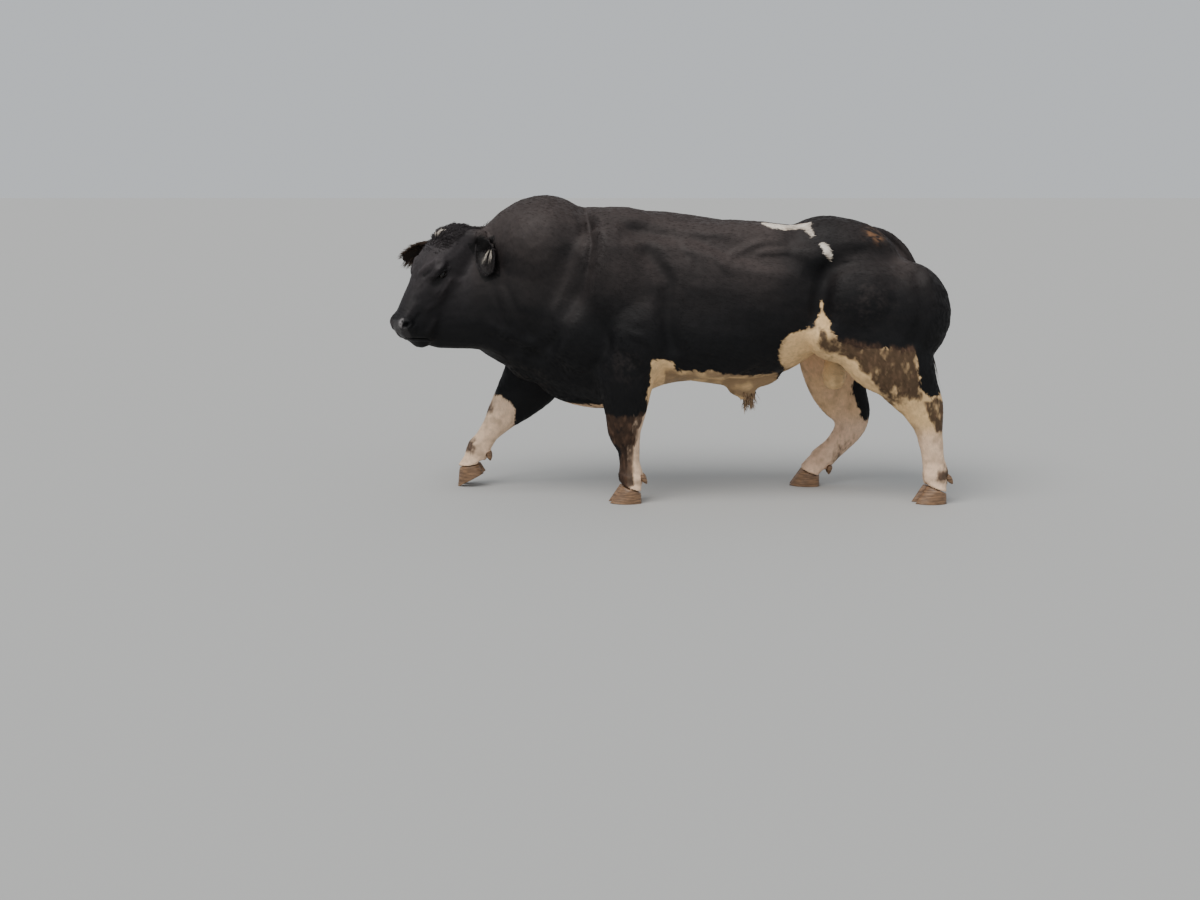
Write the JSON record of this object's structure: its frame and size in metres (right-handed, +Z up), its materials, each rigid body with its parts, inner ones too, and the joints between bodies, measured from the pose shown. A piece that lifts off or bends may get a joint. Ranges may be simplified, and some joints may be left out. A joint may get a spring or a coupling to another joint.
{
  "type": "walking double-muscled beef bull",
  "caption": "Life-size still model of a double-muscled beef bull walking with lowered, turned head; black coat with cream legs, flank patch and underside.",
  "frame": {"origin": "on the floor under the middle of the model's box", "axes": "+X runs from head to tail, so the bull walks towards -X; its left side faces -Y; +Z is up"},
  "size_m": [2.7972, 0.7952, 1.5146],
  "materials": {
    "black_coat": "matte",
    "white_coat": "matte",
    "horn": "satin",
    "eye": "gloss"
  },
  "bodies": {
    "root": {"head": "black_coat", "neck": "black_coat", "torso": "black_coat", "tail": "black_coat", "scrotum": "white_coat", "ear_left": "black_coat", "ear_right": "black_coat", "eye_left": "eye", "eye_right": "eye", "tail_switch": "black_coat", "leg_front_left": "white_coat", "leg_front_right": "white_coat", "leg_hind_left": "white_coat", "leg_hind_right": "white_coat", "claw_front_left_left": "horn", "claw_front_left_right": "horn", "claw_front_right_left": "horn", "claw_front_right_right": "horn", "claw_hind_left_left": "horn", "claw_hind_left_right": "horn", "claw_hind_right_left": "horn", "claw_hind_right_right": "horn", "dewclaw_front_left_left": "horn", "dewclaw_front_left_right": "horn", "dewclaw_front_right_left": "horn", "dewclaw_front_right_right": "horn", "dewclaw_hind_left_left": "horn", "dewclaw_hind_left_right": "horn", "dewclaw_hind_right_left": "horn", "dewclaw_hind_right_right": "horn"}
  },
  "joints": []
}
